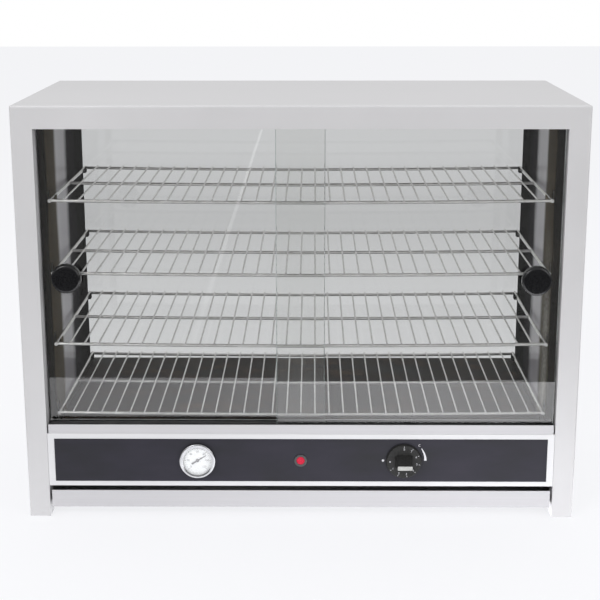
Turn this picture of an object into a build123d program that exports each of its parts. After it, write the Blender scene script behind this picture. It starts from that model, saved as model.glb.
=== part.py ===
from build123d import *
from math import cos, radians, sin
import os

# A countertop pie warmer: a glass-fronted heated cabinet with two sliding doors and four wire racks

# Driving dimensions, in millimetres: X to the right, Y to the rear, Z up from the counter
case_width = 680.0
case_depth = 326.5
case_height = 513.4
case_gauge = 1.0
fold_radius = 2.2
stile_width = 26.0
header_height = 27.4
lip_depth = 23.5
runner_width = 20.0

liner_gauge = 0.8
wall_space = 34.0
liner_half_width = case_width / 2 - wall_space
liner_gap_behind_lip = 0.5
liner_depth = 272.0
roof_space = 23.4
ceiling_height = case_height - roof_space
flange_width = 24.0

plinth_bottom = 12.5
plinth_height = 22.1
plinth_half_width = case_width / 2 - 29.0
vent_gap = 6.0
fascia_height = 68.7
sill_height = 11.7
fascia_fold = 12.0
ledge_depth = 40.0
overlay_thickness = 0.5
overlay_half_width = case_width / 2 - 34.6
overlay_height = 55.5

glass_thickness = 4.0
front_pane_setback = 6.0
pane_pitch = 10.0
pane_overlap = 58.0
pane_side_gap = 1.5
pane_play = 0.8
running_gap = 0.3
groove_depth = 8.0
track_floor = 2.0
track_rib = 1.6
top_groove_depth = 23.0
top_engagement = 11.0

knob_radius = 18.0
knob_height = 10.0
knob_edge = 3.4
knob_inset = 30.5
knob_level = 304.0
knob_screw_radius = 2.0
washer_thickness = 0.5
washer_radius = 8.0
screw_head_height = 2.0

rack_levels = (128.5, 218.0, 307.5, 397.0)
rack_names = ("bottom_rack", "lower_rack", "middle_rack", "top_rack")
rack_half_width = 304.0
rack_front = 27.0
rack_rear = 287.0
frame_wire = 2.0
end_wire = 2.3
cross_wire = 1.15
cross_wires = 33
rack_sag = 2.5
weld_sink = 0.5
lug_width = 12.0
lug_gauge = 1.2
lug_hook = 3.5
lug_setback = 17.0
lug_play = 0.8

control_half_spacing = 128.0
thermometer_radius = 22.4
thermometer_case_radius = 20.0
thermometer_case_depth = 14.0
bezel_height = 5.2
bezel_width = 4.4
bezel_lip = 0.8
bezel_play = 0.7
dial_thickness = 0.6
lens_thickness = 1.4
pointer_length = 13.0
pointer_tail = 8.5
stub_radius = 5.0
stub_length = 6.0
pointer_angle = 32.0
pivot_radius = 0.6
pivot_play = 0.05

lamp_lens_radius = 5.2
lamp_bezel_radius = 8.0
lamp_body_radius = 6.4
lamp_body_depth = 28.0

skirt_radius = 22.2
skirt_thickness = 4.0
skirt_gap = 0.9
grip_reach = 22.0
grip_length = 22.0
grip_base = 18.0
grip_nose_length = 18.6
grip_nose = 5.8
insert_thickness = 0.6
spindle_radius = 3.0
spindle_play = 0.05
thermostat_width = 36.0
thermostat_height = 40.0
thermostat_depth = 34.0
thermostat_screw_spacing = 24.0
bush_radius = 5.5

deflector_gauge = 1.0
deflector_height = 11.0
tray_height = 10.0
element_radius = 3.5
element_bend = 24.0
element_level = 5.0
cold_end_bend = 8.0
cold_end_depth = 22.0
cold_end_spacing = 50.0

gland_reach = 16.0
gland_radius = 10.0
cable_bore = 4.2
gland_from_side = 70.0
gland_level = 42.0
vent_slots = 14
vent_pitch = 16.0
vent_width = 5.0
vent_height = 34.0
vents_off_centre = 90.0
wire_radius = 1.3
capillary_radius = 0.9
screw_radius = 2.0
screw_head_radius = 4.0
hole_play = 0.1

# Levels and places that follow from the driving dimensions
half_width = case_width / 2
opening_half = half_width - stile_width
opening_top = case_height - header_height
plinth_top = plinth_bottom + plinth_height
fascia_bottom = plinth_top + vent_gap
deck = fascia_bottom + fascia_height
sill_top = deck + sill_height
control_level = fascia_bottom + fascia_height / 2
knob_reach = overlay_thickness + skirt_gap + skirt_thickness + grip_reach + insert_thickness
overall_depth = knob_reach + case_depth + gland_reach
front = knob_reach - overall_depth / 2
back = front + case_depth
liner_front = front + lip_depth + liner_gap_behind_lip
liner_rear = liner_front + liner_depth
rear_pane_setback = front_pane_setback + pane_pitch
track_rear = front + rear_pane_setback + glass_thickness + pane_play + track_rib


def block(x, y, z, mode=Mode.ADD):
    """A rectangular block between two corners."""
    middle = ((x[0] + x[1]) / 2, (y[0] + y[1]) / 2, (z[0] + z[1]) / 2)
    with Locations(middle):
        Box(x[1] - x[0], y[1] - y[0], z[1] - z[0], mode=mode)


def rod(x, y, z, radius, length, mode=Mode.ADD):
    """A round bar that starts at a point and runs rearward."""
    with Locations(Plane(origin=(x, y, z), x_dir=(1, 0, 0), z_dir=(0, 1, 0))):
        Cylinder(radius, length, align=(Align.CENTER, Align.CENTER, Align.MIN), mode=mode)


def post(x, y, z, radius, length, mode=Mode.ADD):
    """A round bar that starts at a point and runs upward."""
    with Locations((x, y, z)):
        Cylinder(radius, length, align=(Align.CENTER, Align.CENTER, Align.MIN), mode=mode)


def tube_along(points, radii, radius):
    """A round wire or tube swept along straight runs joined by arcs."""
    with BuildLine() as route:
        FilletPolyline(*points, radius=radii)
    start = Plane(origin=route.line @ 0, z_dir=route.line % 0)
    with BuildSketch(start) as section:
        Circle(radius)
    sweep(section.sketch, path=route.line)


def finish(name, part):
    """Label a piece and write it."""
    part.label = name
    export_step(part, f"parts/{name}.step")


os.makedirs("parts", exist_ok=True)

# Outer case: top and sides in one wrap, with folded stiles at the front and the rear
base_screw_setback = 60.0
base_screw_level = plinth_bottom + 13.0
with BuildPart() as outer_case:
    block((-half_width, half_width), (front, back), (0, case_height))
    top_edges = outer_case.faces().sort_by(Axis.Z)[-1].edges()
    fillet(top_edges + outer_case.edges().filter_by(Axis.Z), fold_radius)
    inner_half = half_width - case_gauge
    block(
        (-inner_half, inner_half),
        (front + case_gauge, back - case_gauge),
        (-1, case_height - case_gauge),
        mode=Mode.SUBTRACT,
    )
    block((-opening_half, opening_half), (front - 1, back + 1), (-1, opening_top), mode=Mode.SUBTRACT)
    for side in (-1, 1):
        lip = sorted((side * opening_half, side * (opening_half + case_gauge)))
        block(lip, (front + case_gauge / 2, front + lip_depth), (0, case_height - case_gauge / 2))
        block(lip, (back - lip_depth, back - case_gauge / 2), (0, case_height - case_gauge / 2))
        runner = sorted((side * (half_width - runner_width), side * (half_width - case_gauge / 2)))
        block(runner, (front + case_gauge / 2, back - case_gauge / 2), (0, case_gauge))
    for y in (front + base_screw_setback, back - base_screw_setback):
        with Locations(Plane(origin=(-half_width - 1, y, base_screw_level), z_dir=(1, 0, 0))):
            Cylinder(
                screw_radius + hole_play,
                case_width + 2,
                align=(Align.CENTER, Align.CENTER, Align.MIN),
                mode=Mode.SUBTRACT,
            )
finish("outer_case", outer_case.part)

# Right liner: polished side wall with outward flanges, and lanced lugs that carry the racks
lug_reach = liner_half_width - rack_half_width + 2 * end_wire + lug_play + lug_gauge
lug_places = (rack_front + lug_setback, rack_rear - lug_setback)
liner_skin = (liner_half_width, liner_half_width + liner_gauge)
flange_reach = (liner_half_width, liner_half_width + flange_width)
with BuildPart() as right_liner:
    block(liner_skin, (liner_front, liner_rear), (deck, ceiling_height))
    block(flange_reach, (liner_front, liner_front + liner_gauge), (deck, ceiling_height))
    block(flange_reach, (liner_rear - liner_gauge, liner_rear), (deck, ceiling_height))
    block(flange_reach, (liner_front, liner_rear), (ceiling_height - liner_gauge, ceiling_height))
    block(flange_reach, (liner_front, liner_rear), (deck, deck + liner_gauge))
    for level in rack_levels:
        lug_top = level - end_wire - running_gap
        for place in lug_places:
            lug_span = (front + place - lug_width / 2, front + place + lug_width / 2)
            hook = (liner_half_width - lug_reach, liner_half_width - lug_reach + lug_gauge)
            punched = (lug_top, lug_top + lug_reach + lug_hook)
            block((liner_skin[0] - 1, liner_skin[1] + 1), lug_span, punched, mode=Mode.SUBTRACT)
            block((hook[0], liner_skin[1]), lug_span, (lug_top - lug_gauge, lug_top))
            block(hook, lug_span, (lug_top - lug_gauge, level + lug_hook))
finish("right_liner", right_liner.part)

with BuildPart() as left_liner:
    mirror(right_liner.part, about=Plane.YZ)
finish("left_liner", left_liner.part)

# Rear glass in four folded channels behind the side walls
channel_gauge = 1.0
channel_depth = 6.0
channel_play = 0.3
glass_front = liner_rear + channel_gauge + channel_play + 1.0
glass_rear = glass_front + glass_thickness
channel_front = glass_front - channel_play - channel_gauge
channel_rear = glass_rear + channel_play + channel_gauge
channel_half = opening_half - running_gap
rear_glass_half = channel_half - channel_gauge - channel_play
rear_glass_bottom = deck + channel_gauge + channel_play
rear_glass_top = ceiling_height - channel_gauge - channel_play
with BuildPart() as rear_glass:
    block((-rear_glass_half, rear_glass_half), (glass_front, glass_rear), (rear_glass_bottom, rear_glass_top))
finish("rear_glass", rear_glass.part)

for side, name in ((-1, "rear_glass_channel_left"), (1, "rear_glass_channel_right")):
    with BuildPart() as channel:
        outer = sorted((side * channel_half, side * (channel_half - channel_gauge - channel_depth)))
        block(outer, (channel_front, channel_rear), (deck, ceiling_height))
        slot = sorted((side * (channel_half - channel_gauge), side * (channel_half - 3 * channel_depth)))
        slot_y = (glass_front - channel_play, glass_rear + channel_play)
        block(slot, slot_y, (deck - 1, ceiling_height + 1), mode=Mode.SUBTRACT)
    finish(name, channel.part)

level_half = channel_half - channel_gauge - channel_depth - running_gap
for low, high, slot_z, name in (
    (
        deck,
        deck + channel_gauge + channel_depth,
        (deck + channel_gauge, deck + 3 * channel_depth),
        "rear_glass_channel_bottom",
    ),
    (
        ceiling_height - channel_gauge - channel_depth,
        ceiling_height,
        (ceiling_height - 3 * channel_depth, ceiling_height - channel_gauge),
        "rear_glass_channel_top",
    ),
):
    with BuildPart() as channel:
        block((-level_half, level_half), (channel_front, channel_rear), (low, high))
        slot_y = (glass_front - channel_play, glass_rear + channel_play)
        block((-level_half - 1, level_half + 1), slot_y, slot_z, mode=Mode.SUBTRACT)
    finish(name, channel.part)

# Roof liner: the ceiling sheet that lies on both side walls and over the rear glass
with BuildPart() as roof_liner:
    roof_z = (ceiling_height, ceiling_height + liner_gauge)
    block((-flange_reach[1], flange_reach[1]), (liner_front, liner_rear), roof_z)
    block((-channel_half, channel_half), (liner_front, channel_rear), roof_z)
finish("roof_liner", roof_liner.part)

# Base pan: bottom sheet with the plinth folded up in front and low walls at the sides
pan_half = half_width - case_gauge
pan_front = front + lip_depth + running_gap
with BuildPart() as base_pan:
    pan_floor = (plinth_bottom, plinth_bottom + case_gauge)
    block((-plinth_half_width, plinth_half_width), (front, back - case_gauge), pan_floor)
    block((-pan_half, pan_half), (pan_front, back - lip_depth - running_gap), pan_floor)
    block((-plinth_half_width, plinth_half_width), (front, front + case_gauge), (plinth_bottom, plinth_top))
    for side in (-1, 1):
        wall = sorted((side * (pan_half - case_gauge), side * pan_half))
        block(wall, (pan_front, back - lip_depth - running_gap), (plinth_bottom, plinth_top))
    front_edges = base_pan.edges().filter_by(Axis.X).filter_by_position(Axis.Y, front - 0.01, front + 0.01)
    fillet(front_edges.group_by(Axis.Z)[0], case_gauge * 0.9)
    for y in (front + base_screw_setback, back - base_screw_setback):
        with Locations(Plane(origin=(-half_width, y, base_screw_level), z_dir=(1, 0, 0))):
            Cylinder(
                screw_radius + hole_play,
                case_width,
                align=(Align.CENTER, Align.CENTER, Align.MIN),
                mode=Mode.SUBTRACT,
            )
finish("base_pan", base_pan.part)

# Side screws: pan-head screws that hold the base pan to the case
screw_length = 8.0
with BuildPart() as base_pan_screws:
    for side in (-1, 1):
        for y in (front + base_screw_setback, back - base_screw_setback):
            outward = Plane(origin=(side * half_width, y, base_screw_level), z_dir=(side, 0, 0))
            with Locations(outward):
                Cylinder(screw_head_radius, screw_head_height, align=(Align.CENTER, Align.CENTER, Align.MIN))
                Cylinder(screw_radius, screw_length, align=(Align.CENTER, Align.CENTER, Align.MAX))
    rims = base_pan_screws.edges().filter_by(GeomType.CIRCLE)
    fillet(rims.group_by(Axis.X)[0] + rims.group_by(Axis.X)[-1], screw_head_height * 0.6)
finish("base_pan_screws", base_pan_screws.part)

# Rear panel: closes the electrics bay, with a ledge that carries the floor pan and the rear glass
rear_panel_half = opening_half - running_gap
rear_screw_x = rear_panel_half - 6.0
gland_x = rear_panel_half - gland_from_side
ledge_front = liner_rear - flange_width / 2
tab = 12.0
with BuildPart() as rear_panel:
    block((-rear_panel_half, rear_panel_half), (back - case_gauge, back), (plinth_bottom, deck))
    block((-rear_panel_half, rear_panel_half), (ledge_front, back), (deck - case_gauge, deck))
    for side in (-1, 1):
        wing = sorted((side * rear_panel_half, side * (rear_panel_half - case_gauge)))
        block(wing, (back - tab, back), (plinth_bottom + case_gauge + running_gap, deck))
    rod(gland_x, back - 2, gland_level, gland_radius * 0.7 + hole_play, 4, mode=Mode.SUBTRACT)
    vents = Plane(origin=(-vents_off_centre, back, control_level), x_dir=(1, 0, 0), z_dir=(0, -1, 0))
    with Locations(vents):
        with GridLocations(vent_pitch, 1, vent_slots, 1):
            Box(vent_width, vent_height, 4 * case_gauge, mode=Mode.SUBTRACT)
finish("rear_panel", rear_panel.part)

rear_screw_z = (plinth_top + 4, deck - 14)

# Door sill: stainless channel under the doors, standing on the fascia's top fold
sill_half = opening_half - 2.0
sill_front = front + 0.2
shadow_line = 2.6
with BuildPart() as door_sill:
    block((-sill_half, sill_half), (sill_front, liner_front - running_gap), (deck, sill_top))
    block(
        (-sill_half - 1, sill_half + 1),
        (sill_front + case_gauge, liner_front - running_gap - case_gauge),
        (deck + case_gauge, sill_top + 1),
        mode=Mode.SUBTRACT,
    )
    block(
        (-sill_half - 1, sill_half + 1),
        (sill_front - 1, sill_front + case_gauge / 2),
        (deck - 1, deck + shadow_line),
        mode=Mode.SUBTRACT,
    )
finish("door_sill", door_sill.part)

# Door tracks: black double-groove sections, shallow below and deep above so that a door can be lifted out
groove_front = (
    front + front_pane_setback - pane_play,
    front + front_pane_setback + glass_thickness + pane_play,
)
groove_rear = (
    front + rear_pane_setback - pane_play,
    front + rear_pane_setback + glass_thickness + pane_play,
)
bottom_track_z = deck + case_gauge
groove_floor = bottom_track_z + track_floor
track_front = groove_front[0] - track_rib
with BuildPart() as bottom_track:
    block(
        (-sill_half, sill_half),
        (track_front, track_rear),
        (bottom_track_z, groove_floor + groove_depth),
    )
    for groove in (groove_front, groove_rear):
        block(
            (-sill_half - 1, sill_half + 1),
            groove,
            (groove_floor, sill_top + groove_depth),
            mode=Mode.SUBTRACT,
        )
finish("bottom_track", bottom_track.part)

top_track_half = opening_half - running_gap
top_track_z = case_height - case_gauge - track_floor
with BuildPart() as top_track:
    block(
        (-top_track_half, top_track_half),
        (track_front, track_rear),
        (top_track_z - top_groove_depth, case_height - case_gauge),
    )
    for groove in (groove_front, groove_rear):
        block(
            (-top_track_half - 1, top_track_half + 1),
            groove,
            (top_track_z - top_groove_depth - 1, top_track_z),
            mode=Mode.SUBTRACT,
        )
finish("top_track", top_track.part)

# Sliding doors: toughened panes with polished edges, each with a screwed pull knob
pane_outer = opening_half - pane_side_gap
pane_inner = -pane_overlap / 2
pane_bottom = groove_floor + running_gap
pane_top = top_track_z - top_groove_depth + top_engagement
knob_x = opening_half - knob_inset
edge_polish = 0.5
knob_bore_depth = 7.0
for side, setback, name in ((-1, rear_pane_setback, "left"), (1, front_pane_setback, "right")):
    pane_front = front + setback
    with BuildPart() as door_glass:
        block(
            sorted((side * pane_outer, side * pane_inner)),
            (pane_front, pane_front + glass_thickness),
            (pane_bottom, pane_top),
        )
        chamfer(door_glass.edges().filter_by(Axis.Z), edge_polish)
        rod(side * knob_x, pane_front - 1, knob_level, 3.2, glass_thickness + 2, mode=Mode.SUBTRACT)
    finish(f"{name}_door_glass", door_glass.part)

    with BuildPart() as door_knob:
        seat = pane_front - washer_thickness
        rod(side * knob_x, seat - knob_height, knob_level, knob_radius, knob_height)
        fillet(door_knob.faces().sort_by(Axis.Y)[0].edges(), knob_edge)
        fillet(door_knob.faces().sort_by(Axis.Y)[-1].edges(), knob_edge / 3)
        rod(
            side * knob_x,
            seat - knob_bore_depth,
            knob_level,
            knob_screw_radius + spindle_play,
            knob_bore_depth + 1,
            mode=Mode.SUBTRACT,
        )
    finish(f"{name}_door_knob", door_knob.part)

    with BuildPart() as knob_washers:
        for y in (pane_front - washer_thickness, pane_front + glass_thickness):
            rod(side * knob_x, y, knob_level, washer_radius, washer_thickness)
            rod(side * knob_x, y - 1, knob_level, 2.3, washer_thickness + 2, mode=Mode.SUBTRACT)
    finish(f"{name}_knob_washers", knob_washers.part)

    with BuildPart() as knob_screw:
        head_seat = pane_front + glass_thickness + washer_thickness
        rod(side * knob_x, head_seat, knob_level, screw_head_radius, screw_head_height)
        shank = head_seat - (seat - knob_bore_depth) - 1
        rod(side * knob_x, head_seat - shank, knob_level, knob_screw_radius, shank)
        fillet(knob_screw.faces().sort_by(Axis.Y)[-1].edges(), screw_head_height * 0.5)
    finish(f"{name}_knob_screw", knob_screw.part)

# Control fascia: folded stainless front of the electrics bay
fascia_half = opening_half - running_gap
control_hole_play = 0.4
fascia_screw_z = (fascia_bottom + 14, deck - 14)
with BuildPart() as control_fascia:
    block((-fascia_half, fascia_half), (front, front + case_gauge), (fascia_bottom, deck))
    block((-fascia_half, fascia_half), (front, front + ledge_depth), (deck - case_gauge, deck))
    block((-fascia_half, fascia_half), (front, front + fascia_fold), (fascia_bottom, fascia_bottom + case_gauge))
    for side in (-1, 1):
        wing = sorted((side * fascia_half, side * (fascia_half - case_gauge)))
        block(wing, (front, front + fascia_fold), (fascia_bottom, deck))
    long_edges = control_fascia.edges().filter_by(Axis.X).filter_by_position(Axis.Y, front - 0.01, front + 0.01)
    fillet(long_edges, case_gauge * 0.9)
    rod(
        -control_half_spacing,
        front - 1,
        control_level,
        thermometer_case_radius + control_hole_play,
        4,
        mode=Mode.SUBTRACT,
    )
    rod(0, front - 1, control_level, lamp_body_radius + control_hole_play, 4, mode=Mode.SUBTRACT)
    rod(control_half_spacing, front - 1, control_level, bush_radius + control_hole_play, 4, mode=Mode.SUBTRACT)
    for side in (-1, 1):
        screw_x = control_half_spacing + side * thermostat_screw_spacing / 2
        with Locations(Plane(origin=(screw_x, front, control_level), z_dir=(0, -1, 0), x_dir=(1, 0, 0))):
            CounterSinkHole(radius=1.6, counter_sink_radius=2.4, depth=4)
finish("control_fascia", control_fascia.part)

with BuildPart() as fascia_overlay:
    overlay_z = (control_level - overlay_height / 2, control_level + overlay_height / 2)
    block((-overlay_half_width, overlay_half_width), (front - overlay_thickness, front), overlay_z)
    for x, radius in (
        (-control_half_spacing, thermometer_case_radius),
        (0, lamp_body_radius),
        (control_half_spacing, bush_radius),
    ):
        rod(x, front - 2, control_level, radius + control_hole_play, 4, mode=Mode.SUBTRACT)
finish("fascia_overlay", fascia_overlay.part)

# Fascia screws: through the end folds into the case's lips, from inside
with BuildPart() as fascia_screws:
    for side in (-1, 1):
        for z in fascia_screw_z:
            inward = Plane(
                origin=(side * (fascia_half - case_gauge), front + fascia_fold / 2 + 1, z), z_dir=(-side, 0, 0)
            )
            with Locations(inward):
                Cylinder(screw_head_radius, screw_head_height, align=(Align.CENTER, Align.CENTER, Align.MIN))
finish("fascia_screws", fascia_screws.part)

# Rear panel screws sit on the case's rear stiles' lips, so they share the fascia screws' pattern
with BuildPart() as rear_panel_screws:
    for side in (-1, 1):
        for z in rear_screw_z:
            inward = Plane(
                origin=(side * (rear_panel_half - case_gauge), back - tab / 2, z), z_dir=(-side, 0, 0)
            )
            with Locations(inward):
                Cylinder(screw_head_radius, screw_head_height, align=(Align.CENTER, Align.CENTER, Align.MIN))
finish("rear_panel_screws", rear_panel_screws.part)

# Thermometer: chrome bezel and glass lens over a white dial with a bimetal-driven pointer
dial_x = -control_half_spacing
face = front - overlay_thickness
bezel_inner = thermometer_radius - bezel_width
dial_front = face - 1.0
lens_rear = face - bezel_height + bezel_lip + lens_thickness
rebate_radius = thermometer_case_radius + bezel_play
with BuildPart() as thermometer_bezel:
    rod(dial_x, face - bezel_height, control_level, thermometer_radius, bezel_height)
    fillet(thermometer_bezel.faces().sort_by(Axis.Y)[0].edges(), bezel_width * 0.5)
    rod(dial_x, face - bezel_height - 1, control_level, bezel_inner, bezel_height + 2, mode=Mode.SUBTRACT)
    rod(
        dial_x,
        face - bezel_height + bezel_lip,
        control_level,
        rebate_radius,
        bezel_height,
        mode=Mode.SUBTRACT,
    )
finish("thermometer_bezel", thermometer_bezel.part)

with BuildPart() as thermometer_lens:
    rod(dial_x, lens_rear - lens_thickness, control_level, rebate_radius - hole_play, lens_thickness)
finish("thermometer_lens", thermometer_lens.part)

case_wall = 0.8
with BuildPart() as thermometer_case:
    case_front = dial_front + dial_thickness
    rod(dial_x, case_front, control_level, thermometer_case_radius, thermometer_case_depth)
    rod(
        dial_x,
        case_front - 1,
        control_level,
        thermometer_case_radius - case_wall,
        thermometer_case_depth - case_wall + 1,
        mode=Mode.SUBTRACT,
    )
    rod(dial_x, case_front + thermometer_case_depth, control_level, stub_radius, stub_length)
finish("thermometer_case", thermometer_case.part)

with BuildPart() as thermometer_dial:
    rod(dial_x, dial_front, control_level, thermometer_case_radius, dial_thickness)
    rod(dial_x, dial_front - 1, control_level, pivot_radius + pivot_play, 3, mode=Mode.SUBTRACT)
finish("thermometer_dial", thermometer_dial.part)

pointer_gap = 0.4
pointer_gauge = 0.4
with BuildPart() as thermometer_pointer:
    along_needle = (cos(radians(pointer_angle)), 0, sin(radians(pointer_angle)))
    pointer_rear = dial_front - pointer_gap
    with BuildSketch(Plane(origin=(dial_x, pointer_rear, control_level), x_dir=along_needle, z_dir=(0, -1, 0))):
        with BuildLine():
            Polyline(
                (-pointer_tail, -1.1),
                (pointer_length - 2, -0.5),
                (pointer_length, 0),
                (pointer_length - 2, 0.5),
                (-pointer_tail, 1.1),
                close=True,
            )
        make_face()
        Circle(2.2)
    extrude(amount=pointer_gauge)
    rod(dial_x, pointer_rear - pointer_gauge, control_level, pivot_radius, 6)
finish("thermometer_pointer", thermometer_pointer.part)

with BuildPart() as thermometer_clamp:
    clamp_y = front + case_gauge
    strap = thermometer_case_radius + 4
    bridge_y = case_front + thermometer_case_depth + running_gap
    block((dial_x - strap, dial_x + strap), (bridge_y, bridge_y + 1.2), (control_level - 7, control_level + 7))
    rod(dial_x, bridge_y - 1, control_level, stub_radius + 3 * hole_play, 4, mode=Mode.SUBTRACT)
    for side in (-1, 1):
        leg = sorted((dial_x + side * strap, dial_x + side * (strap - 1.2)))
        block(leg, (clamp_y, bridge_y + 1.2), (control_level - 7, control_level + 7))
finish("thermometer_clamp", thermometer_clamp.part)

# Capillary and bulb of the thermometer: up through the floor pan to the air beside the element
capillary_start = (dial_x, case_front + thermometer_case_depth + stub_length, control_level)
thermometer_probe = (dial_x - 60.0, front + 150.0)
bulb_radius = 3.0
bulb_length = 12.0
with BuildPart() as thermometer_capillary:
    tube_along(
        (
            capillary_start,
            (dial_x, front + 70, control_level),
            (dial_x - 40, front + 110, control_level),
            (*thermometer_probe, control_level + 12),
            (*thermometer_probe, deck - 6),
        ),
        [12, 12, 6],
        capillary_radius,
    )
    post(*thermometer_probe, deck - 8, bulb_radius, bulb_length)
finish("thermometer_capillary", thermometer_capillary.part)

# Pilot lamp: red domed lens in a black bezel, held by a spring nut
with BuildPart() as pilot_lamp_body:
    rod(0, face - 1.6, control_level, lamp_bezel_radius, 1.6)
    fillet(pilot_lamp_body.faces().sort_by(Axis.Y)[0].edges(), 0.8)
    rod(0, face - 1, control_level, lamp_body_radius, lamp_body_depth + 1)
    rod(0, face - 3, control_level, lamp_lens_radius, 10, mode=Mode.SUBTRACT)
finish("pilot_lamp_body", pilot_lamp_body.part)

with BuildPart() as pilot_lamp_lens:
    rod(0, face - 2.8, control_level, lamp_lens_radius - hole_play, 8)
    fillet(pilot_lamp_lens.faces().sort_by(Axis.Y)[0].edges(), 2.2)
finish("pilot_lamp_lens", pilot_lamp_lens.part)

with BuildPart() as pilot_lamp_nut:
    rod(0, front + case_gauge, control_level, lamp_body_radius + 3.2, 2)
    rod(0, front, control_level, lamp_body_radius + hole_play, 5, mode=Mode.SUBTRACT)
finish("pilot_lamp_nut", pilot_lamp_nut.part)

# Thermostat: body on the fascia's back, spindle through a bush, and a skirted knob with a wedge grip
stat_x = control_half_spacing
stat_front = front + case_gauge
with BuildPart() as thermostat_body:
    block(
        (stat_x - thermostat_width / 2, stat_x + thermostat_width / 2),
        (stat_front, stat_front + thermostat_depth),
        (control_level - thermostat_height / 2, control_level + thermostat_height / 2),
    )
    fillet(thermostat_body.edges().filter_by(Axis.Y), 3)
    rod(stat_x, front - overlay_thickness, control_level, bush_radius, 2)
    rod(
        stat_x,
        front - overlay_thickness - 1,
        control_level,
        spindle_radius + spindle_play,
        14,
        mode=Mode.SUBTRACT,
    )
    for side in (-1, 1):
        screw_x = stat_x + side * thermostat_screw_spacing / 2
        rod(screw_x, stat_front - 1, control_level, 1.6, 7, mode=Mode.SUBTRACT)
finish("thermostat_body", thermostat_body.part)

with BuildPart() as thermostat_screws:
    for side in (-1, 1):
        screw_x = stat_x + side * thermostat_screw_spacing / 2
        rod(screw_x, front + 0.05, control_level, 1.5, 6)
        with Locations(Plane(origin=(screw_x, front + 0.05, control_level), x_dir=(1, 0, 0), z_dir=(0, 1, 0))):
            Cone(2.2, 1.5, 0.7, align=(Align.CENTER, Align.CENTER, Align.MIN))
finish("thermostat_screws", thermostat_screws.part)

skirt_rear = front - overlay_thickness - skirt_gap
skirt_front = skirt_rear - skirt_thickness
bore_depth = 16.0
with BuildPart() as thermostat_spindle:
    rod(stat_x, skirt_rear - bore_depth + 1, control_level, spindle_radius, bore_depth + 11)
finish("thermostat_spindle", thermostat_spindle.part)

with BuildPart() as thermostat_knob:
    with BuildSketch(Plane(origin=(stat_x, skirt_rear, control_level), x_dir=(1, 0, 0), z_dir=(0, -1, 0))):
        Circle(skirt_radius)
    extrude(amount=skirt_thickness, taper=12)
    fillet(thermostat_knob.faces().sort_by(Axis.Y)[0].edges(), 0.8)
    nose_front = skirt_front - grip_reach
    with BuildSketch(Plane(origin=(stat_x, skirt_front + 0.5, control_level), x_dir=(1, 0, 0), z_dir=(0, -1, 0))):
        RectangleRounded(grip_length, grip_base, 3)
    with BuildSketch(Plane(origin=(stat_x, nose_front, control_level), x_dir=(1, 0, 0), z_dir=(0, -1, 0))):
        RectangleRounded(grip_nose_length, grip_nose, 1.2)
    loft(ruled=True)
    rod(
        stat_x,
        skirt_rear - bore_depth,
        control_level,
        spindle_radius + spindle_play,
        bore_depth + 1,
        mode=Mode.SUBTRACT,
    )
finish("thermostat_knob", thermostat_knob.part)

with BuildPart() as knob_insert:
    with BuildSketch(Plane(origin=(stat_x, nose_front, control_level), x_dir=(1, 0, 0), z_dir=(0, -1, 0))):
        RectangleRounded(grip_nose_length - 0.6, grip_nose - 0.6, 0.9)
    extrude(amount=insert_thickness)
finish("knob_insert", knob_insert.part)

# Thermostat capillary: up through the floor pan, ending in the sensing bulb beside the element
stat_rear = stat_front + thermostat_depth
thermostat_probe = (stat_x + 80.0, stat_rear + 115.0)
with BuildPart() as thermostat_capillary:
    tube_along(
        (
            (stat_x, stat_rear, control_level + 14),
            (stat_x, stat_rear + 30, control_level + 14),
            (stat_x + 50, stat_rear + 70, control_level + 14),
            (*thermostat_probe, control_level + 14),
            (*thermostat_probe, deck - 2),
        ),
        [12, 12, 5],
        capillary_radius,
    )
    post(*thermostat_probe, deck - 6, bulb_radius, bulb_length)
finish("thermostat_capillary", thermostat_capillary.part)

# Floor pan: the tray between the electrics bay and the heated cabinet
tray_half = liner_half_width - running_gap
tray_front = liner_front + 1.0
tray_rear = liner_rear - 1.0
tray_top = deck + liner_gauge
cold_y = front + 110.0
cold_x = (stat_x - 88.0, stat_x - 88.0 + cold_end_spacing)
bushing_radius = 8.5
with BuildPart() as floor_pan:
    block((-tray_half, tray_half), (tray_front, tray_rear), (deck, deck + tray_height))
    block(
        (-tray_half + liner_gauge, tray_half - liner_gauge),
        (tray_front + liner_gauge, tray_rear - liner_gauge),
        (tray_top, deck + tray_height + 1),
        mode=Mode.SUBTRACT,
    )
    for x in cold_x:
        post(x, cold_y, deck - 1, bushing_radius - 3, 4, mode=Mode.SUBTRACT)
    for probe in (thermometer_probe, thermostat_probe):
        post(*probe, deck - 1, bulb_radius + hole_play, 4, mode=Mode.SUBTRACT)
finish("floor_pan", floor_pan.part)

# Heat deflector: dark steel plate on its own down-turned edges, over the element
deflector_half = tray_half - 6.0
deflector_y = (tray_front + 4.0, tray_rear - 4.0)
with BuildPart() as heat_deflector:
    block((-deflector_half, deflector_half), deflector_y, (tray_top, tray_top + deflector_height))
    block(
        (-deflector_half + deflector_gauge, deflector_half - deflector_gauge),
        (deflector_y[0] + deflector_gauge, deflector_y[1] - deflector_gauge),
        (tray_top - 1, tray_top + deflector_height - deflector_gauge),
        mode=Mode.SUBTRACT,
    )
finish("heat_deflector", heat_deflector.part)

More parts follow.
